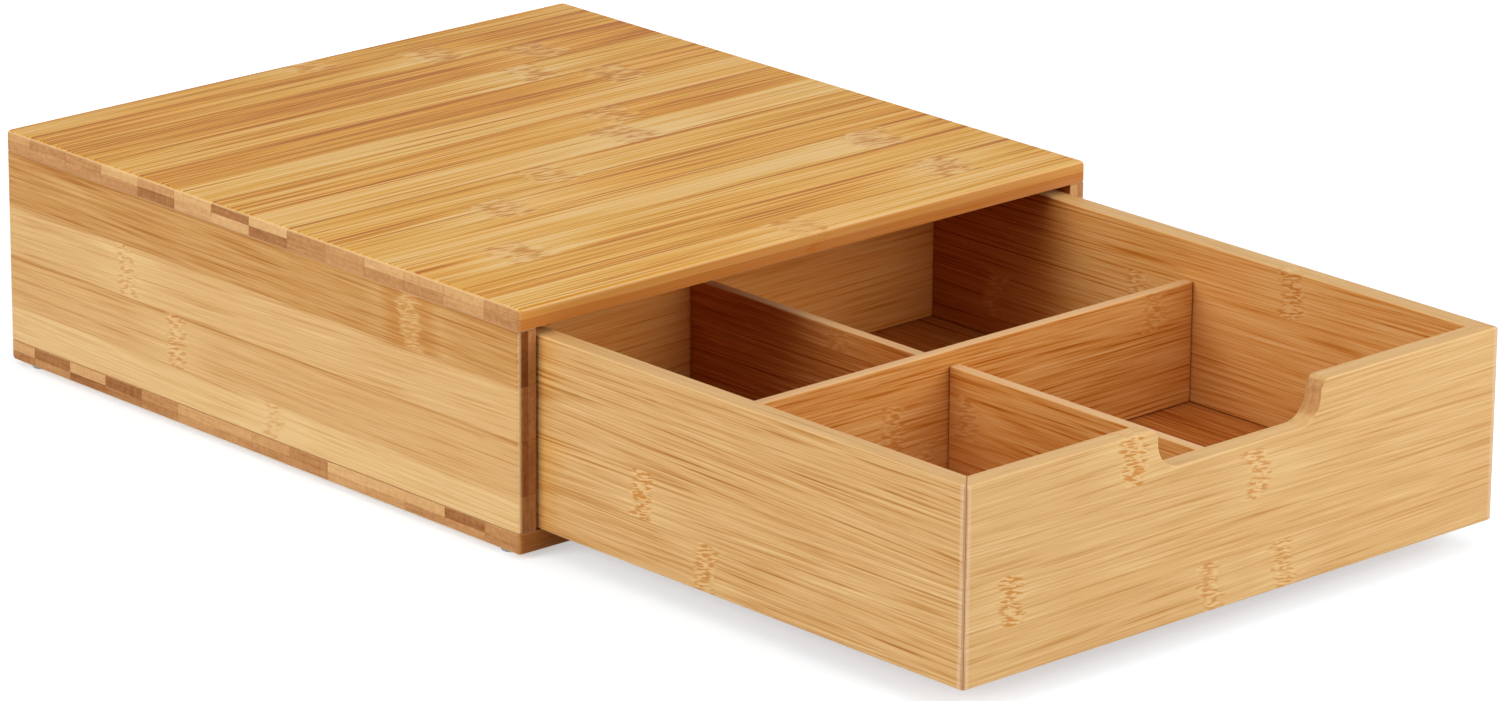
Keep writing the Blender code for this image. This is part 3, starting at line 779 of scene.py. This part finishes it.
def smoothing_group():
    """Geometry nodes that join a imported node's faces again and shade its rounded edges smooth."""
    group = bpy.data.node_groups.new("weld_and_smooth", "GeometryNodeTree")
    for way in ("INPUT", "OUTPUT"):
        group.interface.new_socket("Geometry", in_out=way, socket_type="NodeSocketGeometry")
    s = Shader(group)
    merge = s.node("GeometryNodeMergeByDistance")
    drop = s.node("GeometryNodeRemoveAttribute")
    drop.inputs["Name"].default_value = "custom_normal"
    faces = s.node("GeometryNodeSetShadeSmooth", domain="FACE")
    edges = s.node("GeometryNodeSetShadeSmooth", domain="EDGE")
    angle = s.node("GeometryNodeInputMeshEdgeAngle")
    sharp = s.math("GREATER_THAN", angle.outputs["Unsigned Angle"], SHARP_ANGLE)
    s.feed(merge.inputs["Distance"], WELD_DISTANCE)
    s.feed(faces.inputs["Shade Smooth"], True)
    s.feed(edges.inputs["Shade Smooth"], False)
    s.feed(edges.inputs["Selection"], sharp)
    chain = [s.node("NodeGroupInput"), merge, drop, faces, edges, s.node("NodeGroupOutput")]
    for before, after in zip(chain, chain[1:]):
        s.feed(after.inputs[0], before.outputs[0])
    return group


def smooth(obj, group):
    obj.modifiers.new("weld and smooth", "NODES").node_group = group
    weighted = obj.modifiers.new("flat faces stay flat", "WEIGHTED_NORMAL")
    weighted.keep_sharp = True


def new_piece(name, shape, material, body):
    """A piece made from a bmesh, which rides on a body and takes its finish from a slot."""
    mesh = bpy.data.meshes.new(name)
    bmesh.ops.recalc_face_normals(shape, faces=shape.faces)
    shape.to_mesh(mesh)
    shape.free()
    mesh.materials.append(material)
    piece = bpy.data.objects.new(name, mesh)
    bpy.context.scene.collection.objects.link(piece)
    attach(piece, body)
    return piece


# Glue lines: the gap between two boards, and how the glue lies in it
GLUE_GAP = 0.3 * MM
GLUE_INSET = 0.3 * MM
GLUE_WIDTH = 0.9 * MM
GLUE_CLEARANCE = 0.02 * MM
GLUE_ARC_STEPS = 6
CASE_CORNER_RADIUS = 2.2 * MM
MITRE_GLUE_INSET = 0.45 * MM


def rim_loop(shape, low, high, z, inset, outward):
    """Points round a board's plan, inset from its edges. Corners on the outward side of X are rounded."""
    loop = []
    for index, (side_x, side_y) in enumerate(((-1, -1), (1, -1), (1, 1), (-1, 1))):
        is_round = side_x == outward
        bend = CASE_CORNER_RADIUS - inset if is_round else 0.0
        centre_x = (high.x if side_x > 0 else low.x) - side_x * (inset + bend)
        centre_y = (high.y if side_y > 0 else low.y) - side_y * (inset + bend)
        for step in range(GLUE_ARC_STEPS + 1 if is_round else 1):
            angle = math.radians(180 + 90 * index + 90 * step / GLUE_ARC_STEPS)
            point = (centre_x + bend * math.cos(angle), centre_y + bend * math.sin(angle), z)
            loop.append(shape.verts.new(point))
    return loop


def glue_ring(low, high, outward):
    """A flat ring of glue just inside the rim of a seam, between two heights."""
    shape = bmesh.new()
    outer_low, inner_low, outer_high, inner_high = (
        rim_loop(shape, low, high, z, inset, outward)
        for z in (low.z, high.z)
        for inset in (GLUE_INSET, GLUE_INSET + GLUE_WIDTH)
    )
    for index in range(len(outer_low)):
        after = (index + 1) % len(outer_low)
        for first, second in (
            (outer_low, outer_high), (inner_low, inner_high),
            (outer_low, inner_low), (outer_high, inner_high),
        ):
            shape.faces.new((first[index], first[after], second[after], second[index]))
    return shape


def add_case_glue(material):
    """Glue lines where the uprights meet the top and the bottom panel."""
    bottom_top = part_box("case_bottom_panel")[1].z
    top_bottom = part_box("case_top_panel")[0].z
    for name, outward in (("left_side", -1), ("right_side", 1), ("back_panel", 0)):
        low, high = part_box(f"case_{name}")
        for level, under, over in (("lower", bottom_top, low.z), ("upper", high.z, top_bottom)):
            ring_low = Vector((low.x, low.y, under + GLUE_CLEARANCE))
            ring_high = Vector((high.x, high.y, over - GLUE_CLEARANCE))
            ring = glue_ring(ring_low, ring_high, outward)
            new_piece(f"glue_{level}_{name}", ring, material, "case")


def add_mitre_glue(material):
    """Upright glue lines in the drawer's mitred corners, clear of the groove that holds its floor."""
    low, high = Vector(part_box("drawer_left_side")[0]), Vector(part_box("drawer_right_side")[1])
    front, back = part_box("drawer_front")[0].y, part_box("drawer_back")[1].y
    floor_low, floor_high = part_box("drawer_floor")
    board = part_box("drawer_front")[1].y - front
    slot_reach = floor_high.x - (high.x - board) + 2 * GLUE_INSET
    groove_low, groove_high = floor_low.z - 2 * GLUE_INSET, floor_high.z + 3 * GLUE_INSET
    inside = board - GLUE_INSET
    bottom, top = low.z + MITRE_GLUE_INSET, high.z - MITRE_GLUE_INSET
    groove = board - slot_reach
    outline = [
        (MITRE_GLUE_INSET, bottom), (inside, bottom), (inside, groove_low), (groove, groove_low),
        (groove, groove_high), (inside, groove_high), (inside, top), (MITRE_GLUE_INSET, top),
    ]
    half = (GLUE_GAP / 2 - GLUE_CLEARANCE) * math.sqrt(2)
    for name, corner_x, corner_y, to_x, to_y in (
        ("front_left", low.x, front, 1, 1), ("front_right", high.x, front, -1, 1),
        ("back_left", low.x, back, 1, -1), ("back_right", high.x, back, -1, -1),
    ):
        shape = bmesh.new()
        sides = []
        for offset in (-half, half):
            sides.append([
                shape.verts.new((corner_x + to_x * (depth + offset), corner_y + to_y * depth, z))
                for depth, z in outline
            ])
        for side in sides:
            shape.faces.new(side)
        for index in range(len(outline)):
            after = (index + 1) % len(outline)
            shape.faces.new((sides[0][index], sides[0][after], sides[1][after], sides[1][index]))
        new_piece(f"glue_mitre_{name}", shape, material, "drawer")


# Studio

def spot_round(azimuth, elevation, distance, centre):
    """A point at that angle from the centre. Azimuth 0 is in front, at -Y, and 90 to the right, at +X."""
    a, e = math.radians(azimuth), math.radians(elevation)
    way = Vector((math.sin(a) * math.cos(e), -math.cos(a) * math.cos(e), math.sin(e)))
    return centre + distance * way


def aim(obj, target, roll=0.0):
    turn = (target - obj.location).to_track_quat("-Z", "Y").to_matrix().to_4x4()
    obj.rotation_euler = (turn @ Matrix.Rotation(math.radians(roll), 4, "Z")).to_euler()


def add_lamp(name, centre, azimuth, elevation, distance, width, height, level):
    lamp = bpy.data.lights.new(name, "AREA")
    lamp.shape = "RECTANGLE"
    lamp.size = width
    lamp.size_y = height
    lamp.energy = level * (math.pi * distance) ** 2
    obj = bpy.data.objects.new(name, lamp)
    bpy.context.scene.collection.objects.link(obj)
    obj.location = spot_round(azimuth, elevation, distance, centre)
    obj.visible_camera = False
    obj.visible_glossy = elevation > LOW_LAMP
    aim(obj, centre)


def add_world():
    world = bpy.data.worlds.new("studio")
    bpy.context.scene.world = world
    world.use_nodes = True
    s = Shader(world.node_tree)
    background = s.tree.nodes["Background"]
    s.feed(background.inputs["Color"], (1.0, 1.0, 1.0, 1.0))
    s.feed(background.inputs["Strength"], s.add(AMBIENT, s.times(seen_rays(s), 1.0 - AMBIENT)))


def add_floor():
    bpy.ops.mesh.primitive_plane_add(size=FLOOR_SIZE, location=(0, 0, 0))
    floor = bpy.context.object
    floor.name = "studio_floor"
    floor.data.materials.append(floor_material())


def add_camera():
    camera = bpy.data.objects.new("camera", bpy.data.cameras.new("camera"))
    bpy.context.scene.collection.objects.link(camera)
    target = Vector(VIEW_TARGET)
    camera.data.lens = VIEW_LENS
    camera.location = spot_round(VIEW_AZIMUTH, VIEW_ELEVATION, VIEW_DISTANCE, target)
    aim(camera, target, VIEW_ROLL)
    bpy.context.scene.camera = camera


def dress_nodes(nodes, groups, smoothing):
    for index, (name, board) in enumerate(boards().items()):
        paint(nodes[name], bamboo_material(name, board, groups, index))
    rubber = rubber_material()
    dowel = dowel_material(groups)
    for name, node in nodes.items():
        if name.startswith("rubber_foot"):
            paint(node, rubber)
        if name.startswith("dowel"):
            paint(node, dowel)
        smooth(node, smoothing)


remove_startup_objects()
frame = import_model()
bpy.context.scene.view_settings.view_transform = "Standard"
shader_groups = {"fibres": fibre_group(), "knuckle": knuckle_group(), "ends": end_group()}
dress_nodes(frame["nodes"], shader_groups, smoothing_group())
glue = glue_material()
add_case_glue(glue)
add_mitre_glue(glue)
add_floor()
add_world()
for lamp_name, lamp in LAMPS.items():
    add_lamp(lamp_name, Vector(LAMP_CENTRE), **lamp)
add_camera()
